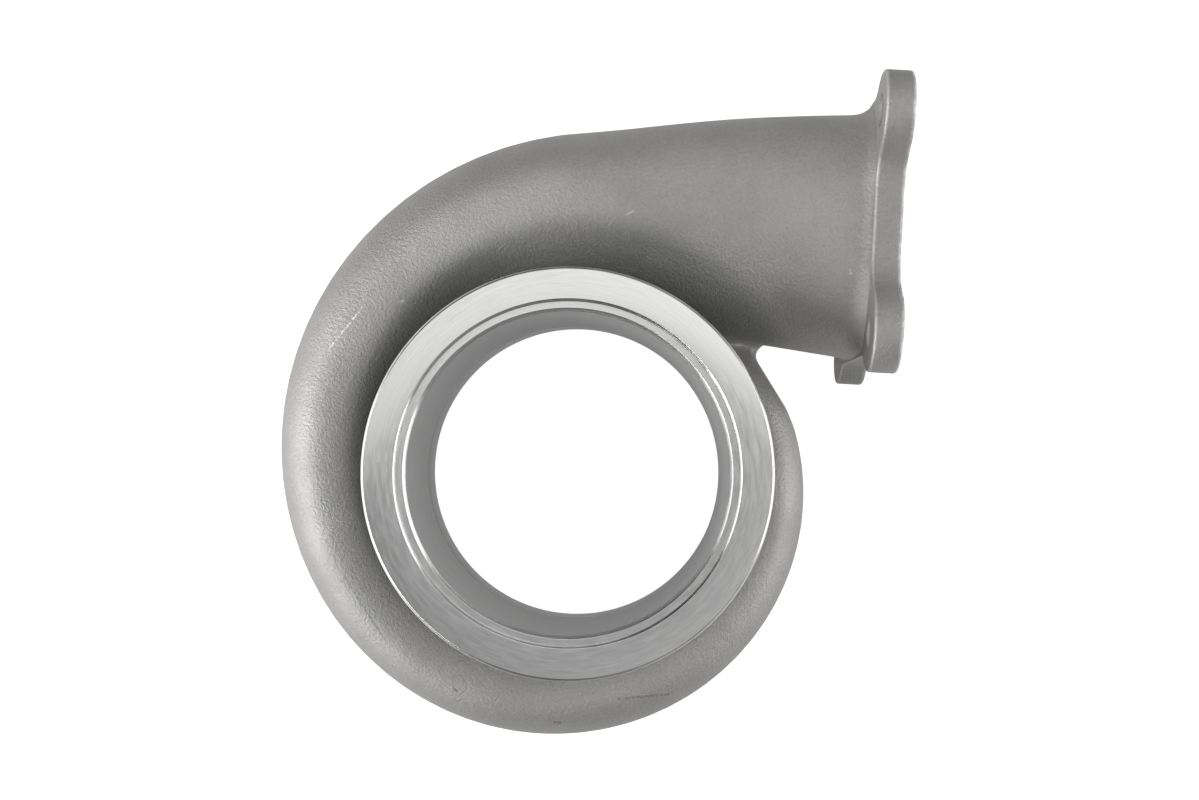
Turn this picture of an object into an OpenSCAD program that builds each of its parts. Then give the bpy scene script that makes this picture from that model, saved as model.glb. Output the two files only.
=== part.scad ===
// Turbine housing with a divided inlet, bare cast stainless steel.
// +Z is the turbine axis with the discharge face on top, z = 0 is the face that meets the
// centre housing, and +X is the way the inlet flange faces.

/* [Main body] */
// Height from the centre-housing face to the discharge face
housing_h = 112; // [106:1:120]
// Outside diameter of the neck that the scroll closes on
neck_d = 116; // [114:0.5:118]
// Thickness of the cast walls of scroll and duct
cast_wall = 5.5; // [4.5:0.25:6.5]
// Gap between the cast shell and the round walls that it closes on
seat_gap = 0.1; // [0.1:0.05:0.3]

/* [Scroll] */
// Outer radius at the top, where the inlet duct joins
scroll_r_top = 114.8; // [112:0.1:118]
// Outer radius a quarter turn on, at the left
scroll_r_left = 100.2; // [97:0.1:104]
// Outer radius half a turn on, at the bottom
scroll_r_bottom = 90.6; // [88:0.1:94]
// Outer radius three quarters of a turn on, at the right
scroll_r_right = 80.2; // [78:0.1:83]
// Radius of the crest at the top
crest_r_top = 94; // [90:0.5:97]
// Radius of the crest at the left
crest_r_left = 83; // [80:0.5:86]
// Radius of the crest at the bottom
crest_r_bottom = 76.5; // [73:0.5:79]
// Radius of the crest at the right
crest_r_right = 69; // [67:0.5:71]
// Height of the crest at the top
crest_z_top = 92; // [86:1:96]
// Height of the crest at the left
crest_z_left = 75; // [70:1:80]
// Height of the crest at the bottom
crest_z_bottom = 61; // [56:1:66]
// Height of the crest at the right
crest_z_right = 48; // [45:1:52]
// Height of the flat rear side
scroll_rear_z = 10; // [8:0.5:11]
// How far the inner side of the tube would reach inside the neck
tube_overlap = 4; // [3:0.25:5]
// Distance from the axis to the flat at the end of the scroll
tail_flat_r = 75; // [73.5:0.1:76]
// Direction that the flat at the end of the scroll faces
tail_flat_angle = 34.6; // [32:0.2:37]
// Radius in the crotch between the duct and the end of the scroll
crotch_r = 2; // [1.5:0.1:4]

/* [Inlet duct] */
// Distance from the axis to the machined inlet face
inlet_face_x = 100.8; // [97:0.1:106]
// Height of the top of the duct at the flange, from the turbine axis
duct_top_y = 124.4; // [122:0.1:127]
// Height of the underside of the duct at the flange, from the turbine axis
duct_low_y = 43.8; // [43:0.1:47]
// Height of the underside of the duct above the turbine axis, carried back to it
duct_root_y = 53.7; // [52:0.1:54.5]
// Width of the duct along the turbine axis at the flange
duct_w = 75; // [72:0.5:76]
// Radius in the corner between the duct and the back of its flange
flare_r = 5; // [4:0.5:7]

/* [Inlet flange] */
// Thickness of the flange
inlet_flange_t = 9.4; // [8:0.2:11]
// Bolt spacing across the turbine axis
bolt_pitch_y = 69.85; // [66:0.05:72]
// Bolt spacing along the turbine axis
bolt_pitch_z = 85.7; // [83:0.05:87]
// Clearance hole for the bolts
bolt_hole_d = 10.5; // [8:0.1:12]
// Radius of the lobes round the bolts
lobe_r = 12.9; // [11.5:0.1:13]
// Height of the flange centre above the turbine axis
inlet_mid_y = 84.9; // [83:0.1:86]
// Distance of the flange centre from the centre-housing face
inlet_mid_z = 56; // [56:0.1:57]
// Width of the flange at its waists, across the turbine axis
waist_y = 84; // [83.5:0.5:88]
// Width of the flange at its waists, along the turbine axis
waist_z = 80; // [79:0.5:84]
// Radius where the lobes run into the waists
waist_blend_r = 14; // [8:0.5:16]
// Height of the two ports across the turbine axis
port_h = 68; // [62:0.5:70]
// Width of each port along the turbine axis
port_w = 30; // [26:0.5:31]
// Corner radius of the ports
port_corner_r = 9; // [5:0.5:12]
// Thickness of the wall between the ports
divider_t = 7; // [5:0.25:8]

/* [Discharge flange] */
// Outside diameter of the discharge clamp flange
discharge_flange_d = 127.4; // [125:0.1:130]
// Thickness of the rim of both clamp flanges
clamp_rim_t = 4; // [3:0.1:4.5]
// Slope of the back of both clamp flanges
clamp_slope = 20; // [15:1:25]
// Edge chamfer of the discharge flange
discharge_edge = 1; // [0.4:0.1:1.4]
// Diameter of the recessed register in the discharge face
register_d = 106.5; // [105.5:0.1:108]
// Depth of the register
register_depth = 2; // [1.5:0.1:3]
// Chamfer at the mouth of the register
register_edge = 0.8; // [0.4:0.1:1]
// Bore at the discharge end
discharge_bore_d = 100; // [99:0.1:101]
// Chamfer at the mouth of the bore
bore_edge = 1.1; // [0.5:0.1:1.4]
// Height of the discharge flange piece, down to its joint with the neck
discharge_flange_h = 12; // [11:0.5:14]

/* [Turbine wheel space] */
// Throat diameter, the narrowest part of the bore
throat_d = 97.2; // [95:0.1:98.5]
// Height of the throat
throat_z = 67; // [64:0.5:72]
// Bore at the nozzle end of the shroud
inducer_bore_d = 104.6; // [103:0.1:107]
// Height of the rear wall of the nozzle
nozzle_low_z = 15.5; // [15:0.1:16]
// Width of the nozzle that feeds the wheel
nozzle_w = 17; // [15.5:0.1:18]
// Radius that the divider between the scrolls reaches in to
divider_tip_r = 62; // [60:0.5:65]
// Thickness of the divider at its tip
divider_tip_t = 2.4; // [1.6:0.1:3.5]

/* [Centre-housing flange] */
// Outside diameter of the centre-housing clamp flange
centre_flange_d = 128; // [124:0.5:132]
// Edge chamfer of the centre-housing flange
centre_edge = 0.8; // [0.4:0.1:1.2]
// Wall between the pilot bore, which the centre housing slides into, and the outside of the neck
pilot_wall = 4; // [3:0.1:5]
// Depth of the pilot bore
pilot_depth = 11.5; // [11:0.1:12.5]
// Bore of the rear wall behind the turbine wheel
rear_bore_d = 102.6; // [101.5:0.1:104]

/* [Hidden] */
cast_colour = "#8d8c88";
turned_colour = "#c3c3c1";

// How finely the curves are divided
round_fn = 180;
hole_fn = 64;
port_fn = 32;
crotch_fn = 48;
cut_fn = 144;
cut_turn = 1.7;            // keeps its corners between the planes of the sections
shell_step = 5;            // degrees between the sections of the scroll's outside
passage_step = 7.5;        // degrees between the sections of its passage
duct_rows = 12;
flare_rows = 4;
divider_rows = 34;
contour_rows = 10;
outside_points = 36;
passage_points = 24;

// Sizes that follow from those above
neck_r = neck_d / 2;
pilot_r = neck_r - pilot_wall;
tube_inner_r = neck_r - tube_overlap;
cut_r = neck_r + seat_gap;
nozzle_top_z = nozzle_low_z + nozzle_w;
nozzle_mid_z = nozzle_low_z + nozzle_w / 2;
duct_end_x = inlet_face_x - inlet_flange_t;
duct_fall = (duct_root_y - duct_low_y) / duct_end_x;

// Where the sweeps start and end
start_angle = 90;
end_angle = 420;           // the scroll runs out under the duct
skin_joint = 270;          // each sweep is two skins that meet here
passage_end_depth = 2;     // the passage ends where it would be shallower than this
divider_end_angle = 385;   // the divider ends before the passage does

// The shape of the tube
lip_wall = 1.9;            // how much further out the passage keeps on the inner side
rear_reach_r = 30;         // the flat rear side of the tube runs in towards the axis
rear_flatness = 0.4;       // points this close to the rear side lie in it
crest_limit = 0.7;         // the crest stays within this share of the tube's width
duct_bow = 0.4;            // how much the top of the duct bows up on its way to the flange
bend_pace = 1.6;           // the section takes on the duct's shape this early
root_pace = 3;             // the underside of the duct closes this early
tip_pace = 2;              // and the tip of its divider gets there this early

// Where the casting is divided
parting_z = 32.4;
web_low_z = 24;            // the web in the outer corner of the tongue starts here
tongue_x = 22.4;
tongue_nose_x = 30;
tongue_y = [40, 57.3];
duct_x = 65;
cut_over = 1;              // how far a cut goes on past what it cuts
big = 400;

// A value given at each quarter turn, read in between along a smooth curve
function beyond(v, i) =
    let (last = len(v) - 1)
    i < 0 ? v[0] + i * (v[1] - v[0]) : i > last ? v[last] + (i - last) * (v[last] - v[last - 1]) : v[i];
function smooth_at(v, t) =
    let (i = floor(t), f = t - i,
         a = beyond(v, i - 1), b = beyond(v, i), c = beyond(v, i + 1), d = beyond(v, i + 2))
    b + f * (c - a) / 2 + f * f * (a - 2.5 * b + 2 * c - d / 2) + f * f * f * (1.5 * (b - c) + (d - a) / 2);
function quarter_at(v, angle) = smooth_at(v, (angle - start_angle) / 90);
function mix(a, b, t) = a + (b - a) * t;
function eased(t) = let (u = min(max(t, 0), 1)) u * u * (3 - 2 * u);
function signed_power(v, p) = sign(v) * pow(abs(v), p);

// A closed section of n points on four quarter curves: out, crest, inner side and rear are its
// reaches, and it is quite flat where it comes close to the rear
function ring_section(n, out, crest, in_front, in_rear, top, middle, rear, bend) =
    [for (k = [0 : n - 1])
        let (a = 360 * k / n, c = cos(a), s = sin(a),
             e = s >= 0 ? (c >= 0 ? bend[0] : bend[1]) : (c < 0 ? bend[2] : bend[3]),
             side = c >= 0 ? out - crest : s >= 0 ? crest - in_front : crest - in_rear,
             z = middle + (s >= 0 ? top - middle : middle - rear) * signed_power(s, 2 / e))
        [crest + side * signed_power(c, 2 / e), z - rear < rear_flatness ? rear : z]];

// The underside of the duct is a straight line, so its distance from the axis follows the angle
function under_duct_r(angle, above) = (duct_root_y + above) / (sin(angle) + duct_fall * cos(angle));
function tail_flat_at(angle) = tail_flat_r / cos(angle - 360 - tail_flat_angle);
scroll_r = [scroll_r_top, scroll_r_left, scroll_r_bottom, scroll_r_right];
crest_r = [crest_r_top, crest_r_left, crest_r_bottom, crest_r_right];
crest_z = [crest_z_top, crest_z_left, crest_z_bottom, crest_z_right];
round_bend = [2.15, 2, 8, 2.5];
duct_bend = [3.2, 3.2, 3.2, 3.2];
tail_starts = 360;
function outer_reach(angle) =
    angle < tail_starts ? quarter_at(scroll_r, angle)
        : min(quarter_at(scroll_r, angle), tail_flat_at(angle), under_duct_r(angle, cast_wall));
function passage_reach(angle) =
    angle < tail_starts ? outer_reach(angle) - cast_wall
        : min(outer_reach(angle) - cast_wall, under_duct_r(angle, 0));
function crest_reach(angle) =
    min(quarter_at(crest_r, angle), mix(tube_inner_r, outer_reach(angle), crest_limit));
function scroll_middle(angle) = (scroll_rear_z + quarter_at(crest_z, angle)) / 2;
function outer_section(angle) =
    ring_section(outside_points, outer_reach(angle), crest_reach(angle), tube_inner_r, rear_reach_r,
                 quarter_at(crest_z, angle), scroll_middle(angle), scroll_rear_z, round_bend);
function passage_section(angle) =
    let (out = max(passage_reach(angle), cut_r + seat_gap))
    ring_section(passage_points, out, min(crest_reach(angle), out - seat_gap), tube_inner_r + lip_wall,
                 rear_reach_r, quarter_at(crest_z, angle) - cast_wall, scroll_middle(angle),
                 scroll_rear_z + cast_wall, round_bend);

// The duct goes on from the first section of the scroll, t runs from 0 there to 1 at the flange,
// and its outside flares into the back of the flange as far as the waist lets it
flare_rise = (waist_z - duct_w) / 2 - seat_gap;
low_flare_rise = duct_low_y - (inlet_mid_y - waist_y / 2) - seat_gap;
duct_split_y = duct_low_y - low_flare_rise - seat_gap;
flare_run = sqrt(flare_r * flare_r - pow(flare_r - flare_rise, 2));
function flare_at(t) =
    let (run = max(flare_run - (1 - t) * duct_end_x, 0)) flare_r - sqrt(flare_r * flare_r - run * run);
function low_flare_at(t) = flare_at(t) * low_flare_rise / flare_rise;
function duct_front_y(t) = mix(scroll_r_top, duct_top_y, (1 + duct_bow) * t - duct_bow * t * t);
function duct_under_y(t) = mix(duct_root_y, duct_low_y, t);
function duct_bend_at(t) = [for (k = [0 : 3]) mix(round_bend[k], duct_bend[k], eased(bend_pace * t))];
function rear_root_y(t, y) = mix(rear_reach_r, y, eased(root_pace * t));
function duct_outer_section(t) =
    ring_section(outside_points, duct_front_y(t) + flare_at(t), mix(crest_r_top, inlet_mid_y, t),
                 duct_under_y(t) - low_flare_at(t), rear_root_y(t, duct_under_y(t)) - low_flare_at(t),
                 mix(crest_z_top, inlet_mid_z + duct_w / 2, eased(t)) + flare_at(t),
                 mix(scroll_middle(start_angle), inlet_mid_z, eased(t)),
                 mix(scroll_rear_z, inlet_mid_z - duct_w / 2, eased(t)) - flare_at(t), duct_bend_at(t));
port_span = 2 * port_w + divider_t;
function duct_passage_section(t) =
    let (lip = mix(lip_wall, cast_wall, eased(root_pace * t)),
         low = mix(duct_under_y(t) + lip, inlet_mid_y - port_h / 2, t))
    ring_section(passage_points, mix(duct_front_y(t) - cast_wall, inlet_mid_y + port_h / 2, t),
                 mix(crest_r_top, inlet_mid_y, t), low, rear_root_y(t, low),
                 mix(crest_z_top - cast_wall, inlet_mid_z + port_span / 2, eased(t)),
                 mix(scroll_middle(start_angle), inlet_mid_z, eased(t)),
                 mix(scroll_rear_z + cast_wall, inlet_mid_z - port_span / 2, eased(t)),
                 duct_bend_at(t));

// The wall between the two scrolls leans from the middle of the nozzle to the middle of the tube
function divider_section(in_r, in_z, in_t, out_r, out_z, out_t) =
    [[in_r, in_z - in_t / 2], [out_r, out_z - out_t / 2],
     [out_r, out_z + out_t / 2], [in_r, in_z + in_t / 2]];
function scroll_divider_section(angle) =
    divider_section(divider_tip_r, nozzle_mid_z, divider_tip_t, outer_reach(angle),
                    scroll_middle(angle), mix(divider_t, divider_tip_t, (angle - start_angle) / 360));
function duct_divider_section(t) =
    divider_section(mix(divider_tip_r, duct_under_y(t), eased(tip_pace * t)),
                    mix(nozzle_mid_z, inlet_mid_z, eased(t)), mix(divider_tip_t, divider_t, t),
                    duct_front_y(t), mix(scroll_middle(start_angle), inlet_mid_z, eased(t)), divider_t);

// Sections set in space: round the axis, or across the duct
function turned(section, angle) = [for (p = section) [p[0] * cos(angle), p[0] * sin(angle), p[1]]];
function across(section, x) = [for (p = section) [x, p[0], p[1]]];

// One closed skin over a row of sections
module skin(sections) {
    n = len(sections[0]);
    last = n * (len(sections) - 1);
    polyhedron(points = [for (s = sections) each s], faces = concat(
        [for (i = [1 : n - 2]) [0, i, i + 1]],
        [for (i = [1 : n - 2]) [last, last + i + 1, last + i]],
        [for (k = [0 : n : last - 1], i = [0 : n - 1]) [k + i, k + n + i, k + n + (i + 1) % n]],
        [for (k = [0 : n : last - 1], i = [0 : n - 1]) [k + i, k + n + (i + 1) % n, k + (i + 1) % n]]));
}

// Zeros leave the size as it is; a resized shape is worked out as one mesh, with all its cuts
module one_mesh() {
    resize([0, 0, 0]) children();
}

duct_steps = [for (i = [1 : duct_rows]) i / duct_rows];
flare_steps = [for (i = [0 : flare_rows]) 1 - (1 - sin(90 * i / flare_rows)) * flare_run / duct_end_x];
outside_steps = concat([for (t = duct_steps) if (t < flare_steps[0]) t], flare_steps);
function back_along(from_angle, to_angle, step) = [for (a = [from_angle : -step : to_angle]) a];

// Each sweep is two skins that share their last sections, because its end runs into its start
module cast_outside() {
    skin([for (a = back_along(end_angle, skin_joint - shell_step, shell_step)) turned(outer_section(a), a)]);
    skin(concat(
        [for (a = back_along(skin_joint, start_angle, shell_step)) turned(outer_section(a), a)],
        [for (t = outside_steps) across(duct_outer_section(t), t * duct_end_x)]));
    tongue_core();
}

module gas_passage() {
    skin([for (a = back_along(end_angle, skin_joint - passage_step, passage_step))
        if (passage_reach(a) > cut_r + passage_end_depth)
        turned(passage_section(a), a)]);
    skin(concat(
        [for (a = back_along(skin_joint, start_angle, passage_step)) turned(passage_section(a), a)],
        [for (t = duct_steps) across(duct_passage_section(t), t * duct_end_x)]));
}

// The tongue is solid between the duct and the flat end of the scroll, and a web with a round
// edge fills its outer corner
module tongue_core() {
    line_angle = -atan(duct_fall);
    flat_angle = tail_flat_angle - 90;
    half = (line_angle - flat_angle) / 2;
    along_line = [cos(line_angle), sin(line_angle)];
    along_flat = [cos(flat_angle), sin(flat_angle)];
    inwards = -cast_wall / 2 * [cos(tail_flat_angle), sin(tail_flat_angle)];
    corner = on_duct_line(tail_flat_r);
    inner_corner = on_duct_line(tail_flat_r - cast_wall);
    nose = [tongue_nose_x, duct_root_y - duct_fall * tongue_nose_x];
    up = [0, 2 * cast_wall];
    overlap = [0, seat_gap];
    low_z = scroll_rear_z + cast_wall / 2;
    top_z = quarter_at(crest_z, end_angle) - cast_wall / 2;
    fillet_end = crotch_r / tan(half);
    translate([0, 0, low_z]) linear_extrude(top_z - low_z)
        polygon([nose + overlap, inner_corner + overlap, inner_corner + up, nose + up]);
    translate([0, 0, web_low_z]) linear_extrude(top_z - web_low_z) difference() {
        polygon([corner - cast_wall * along_flat + inwards, corner + fillet_end * along_flat + inwards,
                 corner + fillet_end * along_flat + seat_gap * inwards,
                 corner + fillet_end * along_line + overlap, corner + up]);
        translate(corner + crotch_r / sin(half) * [cos(line_angle - half), sin(line_angle - half)])
            circle(crotch_r, $fn = crotch_fn);
    }
}

// Where the flat end of the scroll, or a line beside it, meets the line of the duct's underside
function on_duct_line(flat_r) =
    let (x = (flat_r - duct_root_y * sin(tail_flat_angle))
             / (cos(tail_flat_angle) - duct_fall * sin(tail_flat_angle)))
    [x, duct_root_y - duct_fall * x];

module cast_shell() {
    difference() {
        cast_outside();
        gas_passage();
        translate([0, 0, -cut_over]) rotate(cut_turn)
            cylinder(h = housing_h + 2 * cut_over, r = cut_r / cos(180 / cut_fn), $fn = cut_fn);
    }
}

module duct_part() {
    translate([duct_x, duct_split_y, 0]) cube(big);
}

module tongue_part() {
    translate([tongue_x, tongue_y[0], 0]) cube([duct_x - tongue_x, tongue_y[1] - tongue_y[0], big]);
}

module scroll_front() {
    color(cast_colour) one_mesh() difference() {
        cast_shell();
        duct_part();
        tongue_part();
        translate([-big, -big, parting_z - big]) cube([2 * big, 2 * big, big]);
    }
}

module scroll_rear() {
    color(cast_colour) one_mesh() difference() {
        cast_shell();
        duct_part();
        tongue_part();
        translate([-big, -big, parting_z]) cube([2 * big, 2 * big, big]);
    }
}

module inlet_duct() {
    color(cast_colour) one_mesh() intersection() {
        cast_shell();
        duct_part();
    }
}

module tongue() {
    color(cast_colour) one_mesh() intersection() {
        cast_shell();
        tongue_part();
    }
}

module whole_divider() {
    intersection() {
        gas_passage();
        skin(concat(
            [for (i = [divider_rows : -1 : 0])
                let (a = mix(start_angle, divider_end_angle, i / divider_rows))
                turned(scroll_divider_section(a), a)],
            [for (i = [1 : divider_rows])
                let (t = i / divider_rows)
                across(duct_divider_section(t), t * duct_end_x)]));
    }
}

module scroll_divider() {
    color(cast_colour) one_mesh() difference() {
        whole_divider();
        duct_part();
    }
}

module duct_divider() {
    color(cast_colour) one_mesh() intersection() {
        whole_divider();
        duct_part();
    }
}

// Drawn in the plane of the flange: across the turbine axis, then along it
module flange_outline() {
    offset(r = -waist_blend_r) offset(delta = waist_blend_r) {
        square([waist_y, waist_z], center = true);
        for (a = [-1, 1], b = [-1, 1])
            translate([a * bolt_pitch_y / 2, b * bolt_pitch_z / 2]) circle(lobe_r, $fn = hole_fn);
    }
}

module port(side) {
    span = [port_h - 2 * port_corner_r, port_w - 2 * port_corner_r];
    translate([0, side * (port_w + divider_t) / 2]) hull()
        for (a = [-1, 1], b = [-1, 1])
            translate([a * span[0] / 2, b * span[1] / 2]) circle(port_corner_r, $fn = port_fn);
}

module inlet_flange() {
    color(cast_colour) translate([duct_end_x, inlet_mid_y, inlet_mid_z]) rotate([90, 0, 90])
        difference() {
            linear_extrude(inlet_flange_t) flange_outline();
            for (side = [-1, 1])
                translate([0, 0, -cut_over]) linear_extrude(inlet_flange_t + 2 * cut_over) port(side);
            for (a = [-1, 1], b = [-1, 1])
                translate([a * bolt_pitch_y / 2, b * bolt_pitch_z / 2, -cut_over])
                    cylinder(h = inlet_flange_t + 2 * cut_over, d = bolt_hole_d, $fn = hole_fn);
        }
}

// A round wall turned from its profile, given as points of radius and height
module turned_wall(points, colour) {
    color(colour) rotate_extrude($fn = round_fn) polygon(points);
}

contour = [for (i = [0 : contour_rows])
    let (t = i / contour_rows)
    [mix(inducer_bore_d, throat_d, sin(90 * t)) / 2, mix(nozzle_top_z, throat_z, t)]];

module wheel_shroud() {
    turned_wall(concat(contour, [[throat_d / 2, throat_z], [neck_r, throat_z],
                                 [neck_r, nozzle_top_z]]), cast_colour);
}

flange_joint_z = housing_h - discharge_flange_h;
bore_edge_z = housing_h - register_depth - bore_edge;
joint_bore_r = mix(throat_d, discharge_bore_d,
                   (flange_joint_z - throat_z) / (bore_edge_z - throat_z)) / 2;

module discharge_neck() {
    turned_wall([[throat_d / 2, throat_z], [neck_r, throat_z], [neck_r, flange_joint_z],
                 [joint_bore_r, flange_joint_z]], cast_colour);
}

module discharge_flange() {
    rim_r = discharge_flange_d / 2;
    rim_low_z = housing_h - clamp_rim_t;
    turned_wall([
        [joint_bore_r, flange_joint_z],
        [neck_r, flange_joint_z],
        [neck_r, rim_low_z - (rim_r - neck_r) * tan(clamp_slope)],
        [rim_r, rim_low_z],
        [rim_r, housing_h - discharge_edge],
        [rim_r - discharge_edge, housing_h],
        [register_d / 2 + register_edge, housing_h],
        [register_d / 2, housing_h - register_edge],
        [register_d / 2, housing_h - register_depth],
        [discharge_bore_d / 2 + bore_edge, housing_h - register_depth],
        [discharge_bore_d / 2, bore_edge_z]], turned_colour);
}

module nozzle_rear_wall() {
    turned_wall([
        [rear_bore_d / 2, pilot_depth],
        [neck_r, pilot_depth],
        [neck_r, nozzle_low_z],
        [rear_bore_d / 2, nozzle_low_z]], turned_colour);
}

module centre_flange() {
    rim_r = centre_flange_d / 2;
    turned_wall([
        [pilot_r + centre_edge, 0],
        [rim_r - centre_edge, 0],
        [rim_r, centre_edge],
        [rim_r, clamp_rim_t],
        [neck_r, clamp_rim_t + (rim_r - neck_r) * tan(clamp_slope)],
        [neck_r, pilot_depth],
        [pilot_r, pilot_depth],
        [pilot_r, centre_edge]], turned_colour);
}

scroll_front();
scroll_rear();
scroll_divider();
inlet_duct();
duct_divider();
tongue();
inlet_flange();
wheel_shroud();
discharge_neck();
discharge_flange();
nozzle_rear_wall();
centre_flange();
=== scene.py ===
# Turbine housing seen from its discharge side, cast and bead-blasted, with turned flanges.
# Lengths are in millimetres where no note says metres. +Z is the turbine axis and +X the inlet.
import math

import bpy
from mathutils import Matrix, Vector
from mathutils.bvhtree import BVHTree


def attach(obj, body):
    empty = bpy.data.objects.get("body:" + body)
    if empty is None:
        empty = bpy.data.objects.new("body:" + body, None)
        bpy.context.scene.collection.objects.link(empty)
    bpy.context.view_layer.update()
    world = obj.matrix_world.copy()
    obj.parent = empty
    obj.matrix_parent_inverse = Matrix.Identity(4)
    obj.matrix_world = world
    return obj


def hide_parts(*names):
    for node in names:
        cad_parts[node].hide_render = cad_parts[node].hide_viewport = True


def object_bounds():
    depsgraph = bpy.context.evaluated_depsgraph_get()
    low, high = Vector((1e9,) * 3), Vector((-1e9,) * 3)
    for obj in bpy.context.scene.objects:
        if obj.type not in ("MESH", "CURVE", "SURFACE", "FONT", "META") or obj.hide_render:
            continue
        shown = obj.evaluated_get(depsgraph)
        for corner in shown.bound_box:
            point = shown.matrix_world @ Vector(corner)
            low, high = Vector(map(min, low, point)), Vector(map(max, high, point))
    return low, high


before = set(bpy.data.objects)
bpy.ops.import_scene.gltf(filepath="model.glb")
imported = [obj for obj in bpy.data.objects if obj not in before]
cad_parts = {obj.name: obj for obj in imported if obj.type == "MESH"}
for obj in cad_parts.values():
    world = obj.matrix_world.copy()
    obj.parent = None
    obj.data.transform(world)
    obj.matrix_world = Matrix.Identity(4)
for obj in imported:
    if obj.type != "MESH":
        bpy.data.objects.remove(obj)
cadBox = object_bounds()
mm = 0.001                            # metres

photo = {
    "width": 1199,                    # this and the other pixels are the photograph's
    "focal": 1825.6,                  # pixels
    "distance": 0.560,                # metres from the lens to the discharge face
    "faceHeight": 0.112,              # metres
    "centre": (599.5, 400.0),
    "plumb": (630.0, 460.0),          # pixel straight below the lens
    "ring": (567.3, 473.2),           # pixel of the discharge face's centre
    "roll": 3.4,                      # degrees
    "sensor": 36,
    "nearest": 0.01,                  # metres, where the view begins
}


# Direction in the camera's own axes of a pixel in the photograph
def sight(view, pixel):
    return Vector((pixel[0] - view["centre"][0], view["centre"][1] - pixel[1], -view["focal"]))


def lookDown(view):
    zAxis = -sight(view, view["plumb"]).normalized()
    roll = math.radians(view["roll"])
    xAxis = Vector((math.cos(roll), -math.sin(roll), 0))
    xAxis = (xAxis - zAxis * xAxis.dot(zAxis)).normalized()
    toCamera = Matrix((xAxis, zAxis.cross(xAxis), zAxis)).transposed()
    facePoint = sight(view, view["ring"]) / view["focal"] * view["distance"]
    place = toCamera.transposed().to_4x4()
    place.translation = Vector((0, 0, view["faceHeight"])) - toCamera.transposed() @ facePoint
    lens = bpy.data.cameras.new("camera")
    lens.sensor_width = view["sensor"]
    lens.lens = view["focal"] * view["sensor"] / view["width"]
    lens.clip_start = view["nearest"]
    camera = bpy.data.objects.new("camera", lens)
    bpy.context.collection.objects.link(camera)
    camera.matrix_world = place
    bpy.context.scene.camera = camera


lookDown(photo)
print("camera placed")


def only(thing):
    bpy.ops.object.select_all(action="DESELECT")
    thing.select_set(True)
    bpy.context.view_layer.objects.active = thing


def edit(thing):
    only(thing)
    bpy.ops.object.mode_set(mode="EDIT")
    bpy.ops.mesh.select_all(action="SELECT")


def leave():
    bpy.ops.object.mode_set(mode="OBJECT")


# A free copy of a CAD node's mesh with its loose triangles merged
def copyOf(node):
    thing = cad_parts[node].copy()
    thing.data = thing.data.copy()
    thing.parent = None
    for key in list(thing.keys()):
        del thing[key]
    bpy.context.collection.objects.link(thing)
    thing.matrix_world = Matrix.Identity(4)
    edit(thing)
    bpy.ops.mesh.remove_doubles(threshold=1e-6)
    leave()
    return thing


def joined(things, name):
    bpy.ops.object.select_all(action="DESELECT")
    for thing in things:
        thing.select_set(True)
    bpy.context.view_layer.objects.active = things[0]
    bpy.ops.object.join()
    things[0].name = name
    things[0].data.name = name
    return things[0]


def modified(thing, kind, **values):
    only(thing)
    step = thing.modifiers.new(kind.lower(), kind)
    for key, value in values.items():
        setattr(step, key, value)
    bpy.ops.object.modifier_apply(modifier=step.name)


def smoothed(thing, degrees):
    only(thing)
    bpy.ops.object.shade_smooth_by_angle(angle=math.radians(degrees))


def clamped(value):
    return min(max(value, 0), 1)


cornerPlaces = (0, 0.2, 0.5, 0.8, 1)      # where a rounded corner has its points


# A ring turned from its profile: radius, height and how far the corner is rounded, for each corner
def turnedRing(name, corners, steps=256, smoothAngle=25):
    points = []
    count = len(corners)
    for k, (radius, height, rounding) in enumerate(corners):
        here = Vector((radius, height))
        if rounding == 0:
            points.append(here)
            continue
        start = here + (Vector(corners[k - 1][:2]) - here).normalized() * rounding
        end = here + (Vector(corners[(k + 1) % count][:2]) - here).normalized() * rounding
        for t in cornerPlaces:
            points.append(start * (1 - t) ** 2 + here * 2 * t * (1 - t) + end * t ** 2)
    bpy.ops.object.select_all(action="DESELECT")
    bpy.ops.mesh.primitive_circle_add(vertices=len(points), radius=1)
    ring = bpy.context.object
    ring.name = name
    ring.data.name = name
    for vertex, point in zip(ring.data.vertices, points):
        vertex.co = (point.x * mm, 0, point.y * mm)
    edit(ring)
    bpy.ops.mesh.spin(steps=steps, angle=math.tau, center=(0, 0, 0), axis=(0, 0, 1))
    bpy.ops.mesh.select_all(action="SELECT")
    bpy.ops.mesh.remove_doubles(threshold=1e-7)
    bpy.ops.mesh.normals_make_consistent(inside=False)
    leave()
    smoothed(ring, smoothAngle)
    return ring


turnedParts = {
    "neckRadius": 58, "jointHeight": 100, "clampSlope": 20, "faceSteps": 384,
    # Discharge flange, from its rim inwards
    "rimRadius": 63.7, "rimLow": 108, "faceHeight": 112, "faceEdge": 0.75,
    "registerRadius": 53.25, "registerEdge": 0.5, "registerFloor": 110,
    "boreRadius": 50, "boreTop": 108.9, "boreEdge": 1.0,
    # Throat, and the wall round the wheel that widens from it
    "throatRadius": 48.6, "throatHeight": 67, "mouthRadius": 52.3, "mouthHeight": 32.5, "contourRows": 12,
    # Ring behind the wheel, whose bore widens towards it
    "wallRadius": 51.3, "wallLow": 11.5, "wallTop": 15.5, "wallTaper": 3,
    # Centre-housing flange
    "pilotRadius": 54, "pilotEdge": 0.8, "backRimRadius": 64, "backRimEdge": 0.8, "backRimTop": 4,
}


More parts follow.
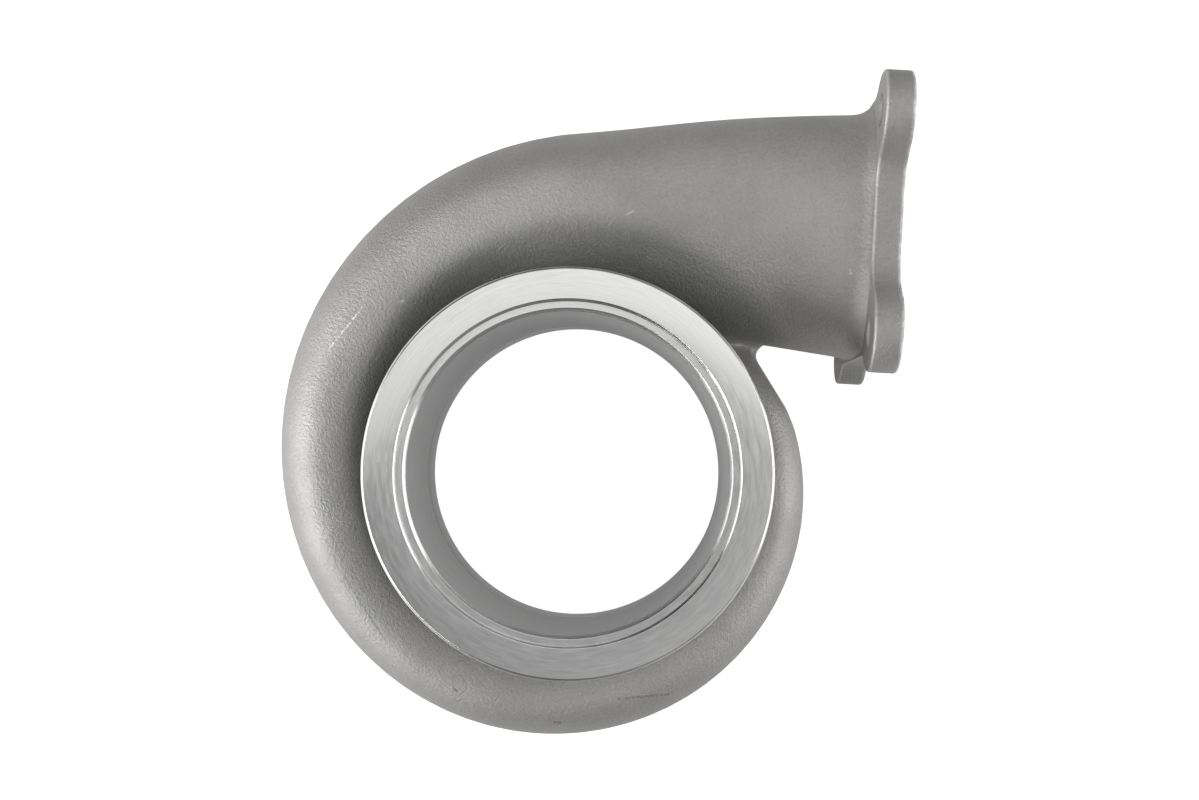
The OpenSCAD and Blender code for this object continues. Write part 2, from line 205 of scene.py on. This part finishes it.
def turnedPieces(p):
    slope = math.tan(math.radians(p["clampSlope"]))
    boreShare = (p["jointHeight"] - p["throatHeight"]) / (p["boreTop"] - p["throatHeight"])
    jointRadius = p["throatRadius"] + (p["boreRadius"] - p["throatRadius"]) * boreShare
    dischargeFlange = turnedRing("dischargeFlange", [
        (jointRadius, p["jointHeight"], 0),
        (p["neckRadius"], p["jointHeight"], 0),
        (p["neckRadius"], p["rimLow"] - (p["rimRadius"] - p["neckRadius"]) * slope, 0.4),
        (p["rimRadius"], p["rimLow"], 0.25),
        (p["rimRadius"], p["faceHeight"] - p["faceEdge"], 0.12),
        (p["rimRadius"] - p["faceEdge"], p["faceHeight"], 0.12),
        (p["registerRadius"] + p["registerEdge"], p["faceHeight"], 0.1),
        (p["registerRadius"], p["faceHeight"] - p["registerEdge"], 0.1),
        (p["registerRadius"], p["registerFloor"], 0.25),
        (p["boreRadius"] + p["boreEdge"], p["registerFloor"], 0.1),
        (p["boreRadius"], p["boreTop"], 0.15),
    ], steps=p["faceSteps"])
    dischargeNeck = turnedRing("dischargeNeck", [
        (p["throatRadius"], p["throatHeight"], 0),
        (p["neckRadius"], p["throatHeight"], 0),
        (p["neckRadius"], p["jointHeight"], 0),
        (jointRadius, p["jointHeight"], 0),
    ])
    contour = []
    for k in range(p["contourRows"] + 1):
        t = k / p["contourRows"]
        radius = p["mouthRadius"] + (p["throatRadius"] - p["mouthRadius"]) * math.sin(math.pi / 2 * t)
        contour.append((radius, p["mouthHeight"] + (p["throatHeight"] - p["mouthHeight"]) * t, 0))
    wheelShroud = turnedRing("wheelShroud", contour + [
        (p["neckRadius"], p["throatHeight"], 0),
        (p["neckRadius"], p["mouthHeight"], 0.5),
    ])
    nozzleRearWall = turnedRing("nozzleRearWall", [
        (p["wallRadius"], p["wallLow"], 0.2),
        (p["neckRadius"], p["wallLow"], 0),
        (p["neckRadius"], p["wallTop"], 0.4),
        (p["wallRadius"] + p["wallTaper"], p["wallTop"], 0.3),
    ])
    centreFlange = turnedRing("centreFlange", [
        (p["pilotRadius"] + p["pilotEdge"], 0, 0.1),
        (p["backRimRadius"] - p["backRimEdge"], 0, 0.12),
        (p["backRimRadius"], p["backRimEdge"], 0.12),
        (p["backRimRadius"], p["backRimTop"], 0.25),
        (p["neckRadius"], p["backRimTop"] + (p["backRimRadius"] - p["neckRadius"]) * slope, 0.4),
        (p["neckRadius"], p["wallLow"], 0),
        (p["pilotRadius"], p["wallLow"], 0.2),
        (p["pilotRadius"], p["pilotEdge"], 0.1),
    ])
    return {
        "discharge_flange": dischargeFlange, "discharge_neck": dischargeNeck,
        "wheel_shroud": wheelShroud, "nozzle_rear_wall": nozzleRearWall, "centre_flange": centreFlange,
    }


turned = turnedPieces(turnedParts)
print("turned pieces made")

inletParts = {
    "centre": (84.9, 56),                         # of the duct, across and along the turbine axis
    "angles": 480, "beyond": 200,                 # points round the duct, and a distance outside it
    "backX": 91.4, "faceX": 100.8,
    # Fillet between duct and flange, smaller on the sides that face along the turbine axis
    "flareFrom": 85, "flareRadius": 6.4, "flareAside": 0.5, "asideFrom": (0.45, 0.7),
    "flareInset": 0.8, "flareWall": 3, "flareSunk": 3, "flareRows": 16,
    # Rounded edges of the flange, and where its ears begin
    "backRound": 1.7, "faceRound": 1.3, "waistRound": 0.8, "roundRows": 5,
    "earFrom": (26, 31), "earBlend": 8,
    # Two ports, as width, height and corner, and four holes
    "port": (68, 30, 9), "portPitch": 37, "portSegments": 8,
    "boltPitch": (69.85, 85.7), "boltRadius": 5.25, "boltSides": 48,
    "smoothAngle": 32,
}


def treeOf(thing):
    mesh = thing.data
    return BVHTree.FromPolygons([v.co for v in mesh.vertices], [f.vertices for f in mesh.polygons])


# Radii of a node's outside round the inlet's centre line, at a height x along it
def radiiRound(node, x, p):
    thing = copyOf(node)
    tree = treeOf(thing)
    bpy.data.objects.remove(thing)
    centre = Vector((x, p["centre"][0], p["centre"][1])) * mm
    radii = []
    for k in range(p["angles"]):
        angle = math.tau * k / p["angles"]
        outwards = Vector((0, math.cos(angle), math.sin(angle)))
        place = tree.ray_cast(centre + outwards * (p["beyond"] * mm), -outwards)[0]
        radii.append((place - centre).length / mm)
    return radii


# A skin over rows round the inlet's centre line, each a height x and its radii; it is a solid
# between its first and last rows, or a tube whose last row meets its first
def roundInlet(name, rows, p, solid):
    n = p["angles"]
    points = []
    for x, radii in rows:
        for k, r in enumerate(radii):
            angle = math.tau * k / n
            points.append((x * mm, (p["centre"][0] + r * math.cos(angle)) * mm,
                           (p["centre"][1] + r * math.sin(angle)) * mm))
    last = len(rows) - 1 if solid else len(rows)
    faces = []
    for row in range(last):
        here = row * n
        above = (row + 1) % len(rows) * n
        for k in range(n):
            after = (k + 1) % n
            faces.append((here + k, here + after, above + after, above + k))
    if solid:
        faces += [tuple(range(n)), tuple(range(last * n, last * n + n))]
    mesh = bpy.data.meshes.new(name)
    mesh.from_pydata(points, [], faces)
    thing = bpy.data.objects.new(name, mesh)
    bpy.context.collection.objects.link(thing)
    edit(thing)
    bpy.ops.mesh.remove_doubles(threshold=1e-6)
    bpy.ops.mesh.normals_make_consistent(inside=False)
    leave()
    return thing


# The fillet is an arc at each angle that ends square to the flange's back and runs on into it
def flarePiece(p, outline):
    base = radiiRound("inlet_duct", p["flareFrom"], p)
    radius = p["flareRadius"]
    low, high = p["asideFrom"]
    runs = []
    for k, (r, edge) in enumerate(zip(base, outline)):
        aside = clamped((abs(math.sin(math.tau * k / p["angles"])) - low) / (high - low))
        rise = min(radius * (1 - (1 - p["flareAside"]) * aside), edge - p["flareInset"] - r)
        runs.append(math.sqrt(radius ** 2 - (radius - rise) ** 2))
    rows = []
    for k in range(p["flareRows"]):
        x = p["flareFrom"] + (p["backX"] - p["flareFrom"]) * k / (p["flareRows"] - 1)
        rows.append((x, [r + radius - math.sqrt(radius ** 2 - max(run + x - p["backX"], 0) ** 2)
                         for r, run in zip(base, runs)]))
    inner = [r - p["flareWall"] for r in base]
    rows.append((p["backX"] + p["flareSunk"], rows[-1][1]))
    rows.append((p["backX"] + p["flareSunk"], inner))
    rows.append((p["flareFrom"], inner))
    return roundInlet("flare", rows, p, False)


def cutAway(thing, cutter):
    modified(thing, "BOOLEAN", object=cutter, operation="DIFFERENCE", solver="EXACT")
    bpy.data.objects.remove(cutter)


def flangeBlank(p, outline):
    rounds = []
    for k, r in enumerate(outline):
        angle = math.tau * k / p["angles"]
        across = abs(r * math.cos(angle)) - p["earFrom"][0]
        along = abs(r * math.sin(angle)) - p["earFrom"][1]
        share = clamped(min(across, along) / p["earBlend"])
        rounds.append(p["waistRound"] + (p["backRound"] - p["waistRound"]) * share)
    turns = [math.pi / 2 * k / p["roundRows"] for k in range(p["roundRows"] + 1)]
    rows = []
    for turn in turns:
        rows.append((p["backX"] + p["waistRound"] * (1 - math.cos(turn)),
                     [r - rounding * (1 - math.sin(turn)) for r, rounding in zip(outline, rounds)]))
    for turn in reversed(turns):
        rows.append((p["faceX"] - p["faceRound"] * (1 - math.cos(turn)),
                     [r - p["faceRound"] * (1 - math.sin(turn)) for r in outline]))
    return roundInlet("inletFlange", rows, p, True)


def flangePiece(p, outline):
    flange = flangeBlank(p, outline)
    y, z = p["centre"]
    depth = (p["faceX"] - p["backX"]) * 3 * mm           # the cutters reach well past both faces
    middle = (p["backX"] + p["faceX"]) / 2 * mm
    width, height, corner = p["port"]
    for side in (-1, 1):
        bpy.ops.object.select_all(action="DESELECT")
        bpy.ops.mesh.primitive_cube_add(size=1)
        port = bpy.context.object
        for vertex in port.data.vertices:
            vertex.co = (vertex.co.x * depth + middle, vertex.co.y * width * mm + y * mm,
                         vertex.co.z * height * mm + (z + side * p["portPitch"] / 2) * mm)
        weights = port.data.attributes.new("bevel_weight_edge", "FLOAT", "EDGE")
        for edge in port.data.edges:
            one, two = (port.data.vertices[i].co for i in edge.vertices)
            weights.data[edge.index].value = 1 if abs(one.x - two.x) > depth / 2 else 0
        modified(port, "BEVEL", width=corner * mm, segments=p["portSegments"], limit_method="WEIGHT")
        cutAway(flange, port)
    for across in (-1, 1):
        for along in (-1, 1):
            bpy.ops.object.select_all(action="DESELECT")
            bpy.ops.mesh.primitive_cylinder_add(
                vertices=p["boltSides"], radius=p["boltRadius"] * mm, depth=depth)
            hole = bpy.context.object
            for vertex in hole.data.vertices:
                vertex.co = (vertex.co.z + middle, vertex.co.x + (y + across * p["boltPitch"][0] / 2) * mm,
                             vertex.co.y + (z + along * p["boltPitch"][1] / 2) * mm)
            cutAway(flange, hole)
    smoothed(flange, p["smoothAngle"])
    return flange


inletOutline = radiiRound("inlet_flange", (inletParts["backX"] + inletParts["faceX"]) / 2, inletParts)
inletFlange = flangePiece(inletParts, inletOutline)
print("inlet flange made")

castBodyParts = {
    "nodes": ["scroll_front", "scroll_rear", "scroll_divider", "inlet_duct", "duct_divider", "tongue"],
    "voxel": 0.8, "smoothing": 40, "triangles": 195000,
    # Sleeves that carry the skin a little way into the turned neck
    "sleeveRadius": 58.5, "sleeveInner": 56.5, "sleeveSteps": 180, "sleeves": ((34.5, 99.5), (10.8, 15)),
}


# One skin over the cast nodes, because the casting has no seams where they meet
def castSkin(p):
    things = [copyOf(node) for node in p["nodes"]]
    things.append(flarePiece(inletParts, inletOutline))
    for low, high in p["sleeves"]:
        things.append(turnedRing("sleeve", [
            (p["sleeveInner"], low, 0), (p["sleeveRadius"], low, 0),
            (p["sleeveRadius"], high, 0), (p["sleeveInner"], high, 0)], steps=p["sleeveSteps"]))
    skin = joined(things, "castBody")
    modified(skin, "REMESH", mode="VOXEL", voxel_size=p["voxel"] * mm, use_smooth_shade=True)
    modified(skin, "SMOOTH", factor=0.5, iterations=p["smoothing"])
    skin.data.calc_loop_triangles()
    count = len(skin.data.loop_triangles)
    print("cast body", count, "triangles before thinning")
    if count > p["triangles"]:
        modified(skin, "DECIMATE", ratio=p["triangles"] / count)
    only(skin)
    bpy.ops.object.shade_smooth()
    return skin


castBody = castSkin(castBodyParts)
print("cast body made")

noiseSpan = (0.3, 0.7)        # nearly all of a noise's values lie between these


class Shading:
    def __init__(self, name):
        self.material = bpy.data.materials.new(name)
        self.material.use_nodes = True
        self.nodes = self.material.node_tree.nodes
        self.links = self.material.node_tree.links
        self.shader = self.nodes["Principled BSDF"]
        self.place = self.nodes.new("ShaderNodeTexCoord").outputs["Object"]

    def set(self, node, values):
        for key, value in values.items():
            if isinstance(value, bpy.types.NodeSocket):
                self.links.new(value, node.inputs[key])
            else:
                node.inputs[key].default_value = value
        return node

    def noise(self, scale, detail=2.0, vector=None, roughness=0.5):
        node = self.set(self.nodes.new("ShaderNodeTexNoise"), {
            "Vector": vector or self.place, "Scale": scale, "Detail": detail, "Roughness": roughness})
        return node.outputs["Fac"]

    def maths(self, operation, *values):
        node = self.nodes.new("ShaderNodeMath")
        node.operation = operation
        return self.set(node, dict(enumerate(values))).outputs[0]

    def vectors(self, operation, one, two):
        node = self.nodes.new("ShaderNodeVectorMath")
        node.operation = operation
        self.set(node, {0: one, "Scale" if operation == "SCALE" else 1: two})
        return node.outputs["Value" if operation in ("DOT_PRODUCT", "DISTANCE") else "Vector"]

    # The value read from one range into another, kept inside it
    def ranged(self, value, low, high, to=(0.0, 1.0), smooth=False):
        node = self.nodes.new("ShaderNodeMapRange")
        node.interpolation_type = "SMOOTHSTEP" if smooth else "LINEAR"
        return self.set(node, {"Value": value, "From Min": low, "From Max": high,
                               "To Min": to[0], "To Max": to[1]}).outputs[0]

    def spread(self, noise, low, high):
        return self.ranged(noise, *noiseSpan, (low, high))

    def axes(self):
        return self.set(self.nodes.new("ShaderNodeSeparateXYZ"), {"Vector": self.place}).outputs

    # Radius, angle and height about the turbine axis
    def polar(self):
        x, y, z = self.axes()
        squares = self.maths("ADD", self.maths("MULTIPLY", x, x), self.maths("MULTIPLY", y, y))
        return self.maths("SQRT", squares), self.maths("ARCTAN2", y, x), z

    # A noise drawn out along circles round the turbine axis
    def turnedNoise(self, turns, pitch):
        radius, angle, z = self.polar()
        place = self.set(self.nodes.new("ShaderNodeCombineXYZ"), {
            "X": self.maths("MULTIPLY", radius, pitch), "Y": self.maths("MULTIPLY", angle, turns),
            "Z": self.maths("MULTIPLY", z, pitch)}).outputs[0]
        return self.noise(1.0, 2, place)

    def bumped(self, height, distance):
        node = self.set(self.nodes.new("ShaderNodeBump"), {"Height": height, "Distance": distance})
        return node.outputs[0]

    def finish(self, **values):
        names = {"colour": "Base Color", "metallic": "Metallic",
                 "roughness": "Roughness", "normal": "Normal"}
        self.set(self.shader, {names[key]: value for key, value in values.items()})
        return self.material


def grey(value, warmth=0.0):
    return (value * (1 + warmth), value, value * (1 - warmth), 1)


castTree = treeOf(castBody)


# Where the line of sight through a pixel of the photograph meets the casting
def onCasting(view, pixel):
    camera = bpy.context.scene.camera.matrix_world
    return castTree.ray_cast(camera.translation, camera.to_3x3() @ sight(view, pixel))[0]


# How much a point lies on a stroke between two places, seen along the turbine axis
def stroke(s, start, end, width, lowest):
    along = Vector((end.x - start.x, end.y - start.y, 0))
    flat = s.vectors("MULTIPLY", s.place, (1, 1, 0))
    offset = s.vectors("SUBTRACT", flat, (start.x, start.y, 0))
    share = s.vectors("DOT_PRODUCT", offset, along / along.length_squared)
    nearest = s.vectors("SCALE", along, s.ranged(share, 0, 1))
    inside = s.ranged(s.vectors("DISTANCE", offset, nearest), width * mm, width * mm / 3)
    return s.maths("MULTIPLY", inside, s.maths("GREATER_THAN", s.axes()["Z"], lowest * mm))


# Painted shade: the groove between the scroll's crest and its neck is darkened in the colour, most of all
# where it is deepest
def paintedGrooveShade(s, p):
    radius, angle, z = s.polar()
    sweep = s.maths("FLOORED_MODULO", angle, math.tau)
    crest = s.ranged(sweep, math.pi / 2, math.tau, [r * mm for r in p["crest"]])
    inwards = s.ranged(s.maths("SUBTRACT", crest, radius), *[r * mm for r in p["from"]], smooth=True)
    high = s.ranged(z, *[h * mm for h in p["height"]])
    rising = s.ranged(sweep, *[math.radians(a) for a in p["rising"]], smooth=True)
    falling = s.ranged(sweep, *[math.radians(a) for a in p["falling"]], smooth=True)
    depth = s.ranged(s.maths("MULTIPLY", rising, falling), 0, 1, p["depth"])
    return s.maths("SUBTRACT", 1, s.maths("MULTIPLY", s.maths("MULTIPLY", inwards, high), depth))


# The flange is rubbed bright along its back edge and, in patches, towards its face
def wornEdges(s, p):
    x = s.axes()["X"]
    aside = s.maths("ABSOLUTE", s.maths("SUBTRACT", x, p["backEdge"] * mm))
    back = s.ranged(aside, p["backBand"] * mm, p["backBand"] * mm / 3)
    face = s.ranged(x, *[height * mm for height in p["faceFrom"]])
    patches = s.ranged(s.noise(p["patches"], 3), *p["patchFrom"], p["faceWear"])
    return s.maths("ADD", s.maths("MULTIPLY", back, p["backWear"]), s.maths("MULTIPLY", face, patches))


# Blasted cast skin: a fine peel over slight clouds with painted glints, a few rubbed and dark marks, and,
# where asked, painted shade in the groove
def blastedSteel(name, p, marks=()):
    s = Shading(name)
    peel = s.noise(p["peel"], 3, roughness=0.6)
    grain = s.noise(p["grain"], 2)
    clouds = s.noise(p["clouds"], 3)
    level = s.maths("ADD", s.spread(peel, -p["peelTone"], p["peelTone"]),
                    s.spread(grain, -p["grainTone"], p["grainTone"]))
    level = s.maths("ADD", level, s.spread(clouds, -p["cloudTone"], p["cloudTone"]))
    # painted glints: bright specks added to the colour where the grain is highest
    level = s.maths("ADD", level, s.ranged(grain, *p["glintFrom"], (1, 1 + p["glint"])))
    broken = s.ranged(s.noise(p["breaks"], 2), *p["breakFrom"], (p["leftInBreaks"], 1))
    for first, last, width, change in marks:
        mark = stroke(s, onCasting(photo, first), onCasting(photo, last), width, p["markLowest"])
        level = s.maths("ADD", level, s.maths("MULTIPLY", s.maths("MULTIPLY", mark, broken), change))
    # painted shade darkens the groove between the crest and the neck
    if "paintedShade" in p:
        level = s.maths("MULTIPLY", level, paintedGrooveShade(s, p["paintedShade"]))
    if "wear" in p:
        level = s.maths("ADD", level, wornEdges(s, p["wear"]))
    bumps = s.maths("ADD", peel, s.maths("MULTIPLY", grain, p["grainBump"]))
    return s.finish(colour=s.vectors("SCALE", grey(p["tone"], p["warmth"])[:3], level),
                    metallic=p["metal"], roughness=s.spread(clouds, *p["roughness"]),
                    normal=s.bumped(bumps, p["depth"]))


# Turned steel: rings of fine lines round the turbine axis, with longer streaks over them
def turnedSteel(name, p):
    s = Shading(name)
    lines = s.turnedNoise(p["lineTurns"], p["pitch"])
    streaks = s.turnedNoise(p["streakTurns"], p["streakPitch"])
    level = s.maths("ADD", s.spread(lines, -p["lineTone"], p["lineTone"]),
                    s.spread(streaks, *p["streakTone"]))
    return s.finish(colour=s.vectors("SCALE", grey(p["tone"], p["warmth"])[:3], level),
                    metallic=p["metal"], roughness=s.spread(streaks, *p["roughness"]),
                    normal=s.bumped(lines, p["depth"]))


castFinish = {
    "tone": 0.48, "warmth": 0.012, "metal": 0.9, "roughness": (0.62, 0.52),
    "peel": 1000, "peelTone": 0.07,               # noise per metre, and how far it moves the tone
    "grain": 2600, "grainTone": 0.06,
    "clouds": 40, "cloudTone": 0.06,
    # painted glints: where in the grain they begin, and how far they brighten the tone
    "glintFrom": (0.66, 0.8), "glint": 0.3,
    "depth": 0.34 * mm, "grainBump": 0.5,
    # Breaks in the marks, and the height above which the marks lie
    "breaks": 900, "breakFrom": (0.42, 0.58), "leftInBreaks": 0.1, "markLowest": 45,
}
# Painted shade in the groove: its radii and heights, the angles between which it is deepest, and its
# depths
castGroovePaintedShade = {
    "crest": (94, 69), "from": (8, 18), "height": (48, 64),
    "rising": (95, 130), "falling": (230, 190), "depth": (0.33, 0.58),
}
# Rubbed and dark marks by their ends in the photograph, their width and how they change the tone
castMarks = [
    ((364, 305), (330, 348), 0.45, 0.8),
    ((403, 301), (398, 303), 0.6, 0.9),
    ((633, 211), (627, 215), 0.5, 0.8),
    ((345, 578), (385, 640), 0.4, -0.35),
    ((618, 699), (668, 694), 0.7, -0.35),
    ((555, 722), (560, 723), 0.6, -0.5),
    ((454, 689), (457, 691), 0.6, -0.5),
    ((850, 270), (851, 275), 0.5, 0.8),
]
flangeWear = {
    "backEdge": inletParts["backX"] + 0.5, "backBand": 0.6, "backWear": 0.5,
    "faceFrom": (inletParts["faceX"] - 1.4, inletParts["faceX"] - 0.3), "faceWear": (0.3, 0.8),
    "patches": 240, "patchFrom": (0.5, 0.62),
}
turnedFinish = {
    "tone": 0.74, "warmth": 0.006, "metal": 1.0, "roughness": (0.15, 0.23),
    "lineTurns": 6, "pitch": 5200, "lineTone": 0.05, "depth": 0.0008 * mm,
    "streakTurns": 9, "streakPitch": 900, "streakTone": (0.93, 1.05),
}
boredFinish = {
    **turnedFinish, "tone": 0.68, "metal": 0.75, "roughness": (0.38, 0.46),
    "pitch": 2600, "depth": 0.002 * mm,
}
cast = blastedSteel("castSteel", {**castFinish, "paintedShade": castGroovePaintedShade}, castMarks)
flangeSteel = blastedSteel("flangeSteel", {**castFinish, "tone": 0.45, "wear": flangeWear})
turnedFace = turnedSteel("turnedSteel", turnedFinish)
bored = turnedSteel("boredSteel", boredFinish)


def dress(thing, finishes, slot, *nodes):
    thing.data.materials.clear()
    for finish in finishes:
        thing.data.materials.append(finish)
    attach(thing, "root")
    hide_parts(*nodes)


# The discharge flange has two finishes, and its faces inside the bore get the second
def markBore(thing, p):
    margin = 0.05
    radius = (p["boreRadius"] + p["boreEdge"] + margin) * mm
    top = (p["boreTop"] + margin) * mm
    for face in thing.data.polygons:
        inside = math.hypot(face.center.x, face.center.y) < radius and face.center.z < top
        face.material_index = 1 if inside else 0


dress(castBody, [cast], "cast", *castBodyParts["nodes"])
dress(inletFlange, [flangeSteel], "cast", "inlet_flange")
dress(turned["discharge_flange"], [turnedFace, bored], "turned", "discharge_flange")
markBore(turned["discharge_flange"], turnedParts)
dress(turned["discharge_neck"], [bored], "cast", "discharge_neck")
dress(turned["wheel_shroud"], [bored], "cast", "wheel_shroud")
dress(turned["nozzle_rear_wall"], [turnedFace], "turned", "nozzle_rear_wall")
dress(turned["centre_flange"], [turnedFace], "turned", "centre_flange")
print("materials given")

stage = {
    "floor": (6.0, 1.3), "floorGap": 0.0002,      # metres
    "floorTone": 0.35, "floorRoughness": 0.9,
    "floorGlow": 0.97,                            # as the lens sees it
    # As metal sees it, at two distances aside from the turbine axis in metres; the weaker glow nearer the
    # axis is a painted shadow of the object
    "glowFrom": (0.08, 0.3), "mirroredGlow": (0.24, 0.7),
    # The world is brightest overhead, between these heights of its direction, and to the right
    "horizon": 0.13, "zenith": 0.44, "zenithFrom": (0.80, 0.94), "zenithLean": 1.5,
}


# The floor glows white for the lens and in metal, and scatters the lamps as a grey one; in metal its glow
# is dimmed near the turbine axis as a painted shadow of the object
def floorLaid(p):
    bpy.ops.object.select_all(action="DESELECT")
    bpy.ops.mesh.primitive_plane_add(size=1, location=(0, 0, 0))
    floor = bpy.context.object
    floor.name = "floor"
    for vertex in floor.data.vertices:
        vertex.co = (vertex.co.x * p["floor"][0], vertex.co.y * p["floor"][1],
                     cadBox[0].z - p["floorGap"])
    s = Shading("whiteFloor")
    rays = s.nodes.new("ShaderNodeLightPath").outputs
    aside = s.maths("ABSOLUTE", s.axes()["X"])
    # painted shadow: the glow that metal sees is weaker near the turbine axis
    mirrored = s.maths("MULTIPLY", s.maths("MAXIMUM", rays["Is Glossy Ray"], rays["Is Transmission Ray"]),
                       s.ranged(aside, *p["glowFrom"], p["mirroredGlow"]))
    seen = s.maths("MAXIMUM", s.maths("MULTIPLY", rays["Is Camera Ray"], p["floorGlow"]), mirrored)
    s.set(s.shader, {"Emission Color": (1, 1, 1, 1), "Emission Strength": seen})
    floor.data.materials.append(s.finish(colour=grey(p["floorTone"]), roughness=p["floorRoughness"]))


# The world is white for the lens, and a dim sky with a bright patch overhead for the rest
def worldSet(p):
    world = bpy.data.worlds.new("studio")
    bpy.context.scene.world = world
    world.use_nodes = True
    nodes = world.node_tree.nodes
    links = world.node_tree.links
    direction = nodes.new("ShaderNodeSeparateXYZ")
    links.new(nodes.new("ShaderNodeTexCoord").outputs["Generated"], direction.inputs[0])
    level = nodes.new("ShaderNodeMapRange")
    level.inputs["From Min"].default_value, level.inputs["From Max"].default_value = p["zenithFrom"]
    level.inputs["To Min"].default_value = p["horizon"]
    level.inputs["To Max"].default_value = p["zenith"]
    links.new(direction.outputs["Z"], level.inputs["Value"])
    lean = nodes.new("ShaderNodeMath")
    lean.operation = "MULTIPLY_ADD"
    links.new(direction.outputs["X"], lean.inputs[0])
    lean.inputs[1].default_value = p["zenithLean"]
    lean.inputs[2].default_value = 1
    leaning = nodes.new("ShaderNodeMath")
    leaning.operation = "MULTIPLY"
    leaning.use_clamp = True
    links.new(level.outputs[0], leaning.inputs[0])
    links.new(lean.outputs[0], leaning.inputs[1])
    seen = nodes.new("ShaderNodeMix")
    links.new(nodes.new("ShaderNodeLightPath").outputs["Is Camera Ray"], seen.inputs["Factor"])
    links.new(leaning.outputs[0], seen.inputs["A"])
    seen.inputs["B"].default_value = 1
    nodes["Background"].inputs["Color"].default_value = (1, 1, 1, 1)
    links.new(seen.outputs[0], nodes["Background"].inputs["Strength"])
    bpy.context.scene.view_settings.view_transform = "Standard"


floorLaid(stage)
worldSet(stage)

# The card beside the lens shows in the turned face, the others light the casting from its sides.
# Places and sizes are in metres, the power in watts and the turn in degrees.
lampAim = (0, 0, 0.05)
lamps = {
    "card": {"place": (-0.02, 0.183, 0.68), "aim": (-0.02, 0.153, 0.0), "turn": 12,
             "size": (0.6, 0.30), "power": 0.37},
    "left": {"place": (-0.95, -0.16, 0.43), "size": (1.15, 0.85), "power": 6.6},
    "right": {"place": (0.95, 0.12, 0.43), "size": (1.1, 0.85), "power": 5.0},
    "far": {"place": (0.0, 0.95, 0.6), "size": (0.9, 0.6), "power": 1.4},
    "low": {"place": (-0.8, -0.65, 0.6), "size": (0.8, 0.5), "power": 5.2},
}


def lampsSet(lamps):
    for name, lamp in lamps.items():
        light = bpy.data.lights.new(name, "AREA")
        light.shape = "RECTANGLE"
        light.size, light.size_y = lamp["size"]
        light.energy = lamp["power"]
        holder = bpy.data.objects.new(name, light)
        bpy.context.collection.objects.link(holder)
        holder.location = lamp["place"]
        aim = Vector(lamp.get("aim", lampAim))
        facing = (aim - holder.location).to_track_quat("-Z", "Y").to_euler()
        facing.z += math.radians(lamp.get("turn", 0))
        holder.rotation_euler = facing


lampsSet(lamps)
print("light set")
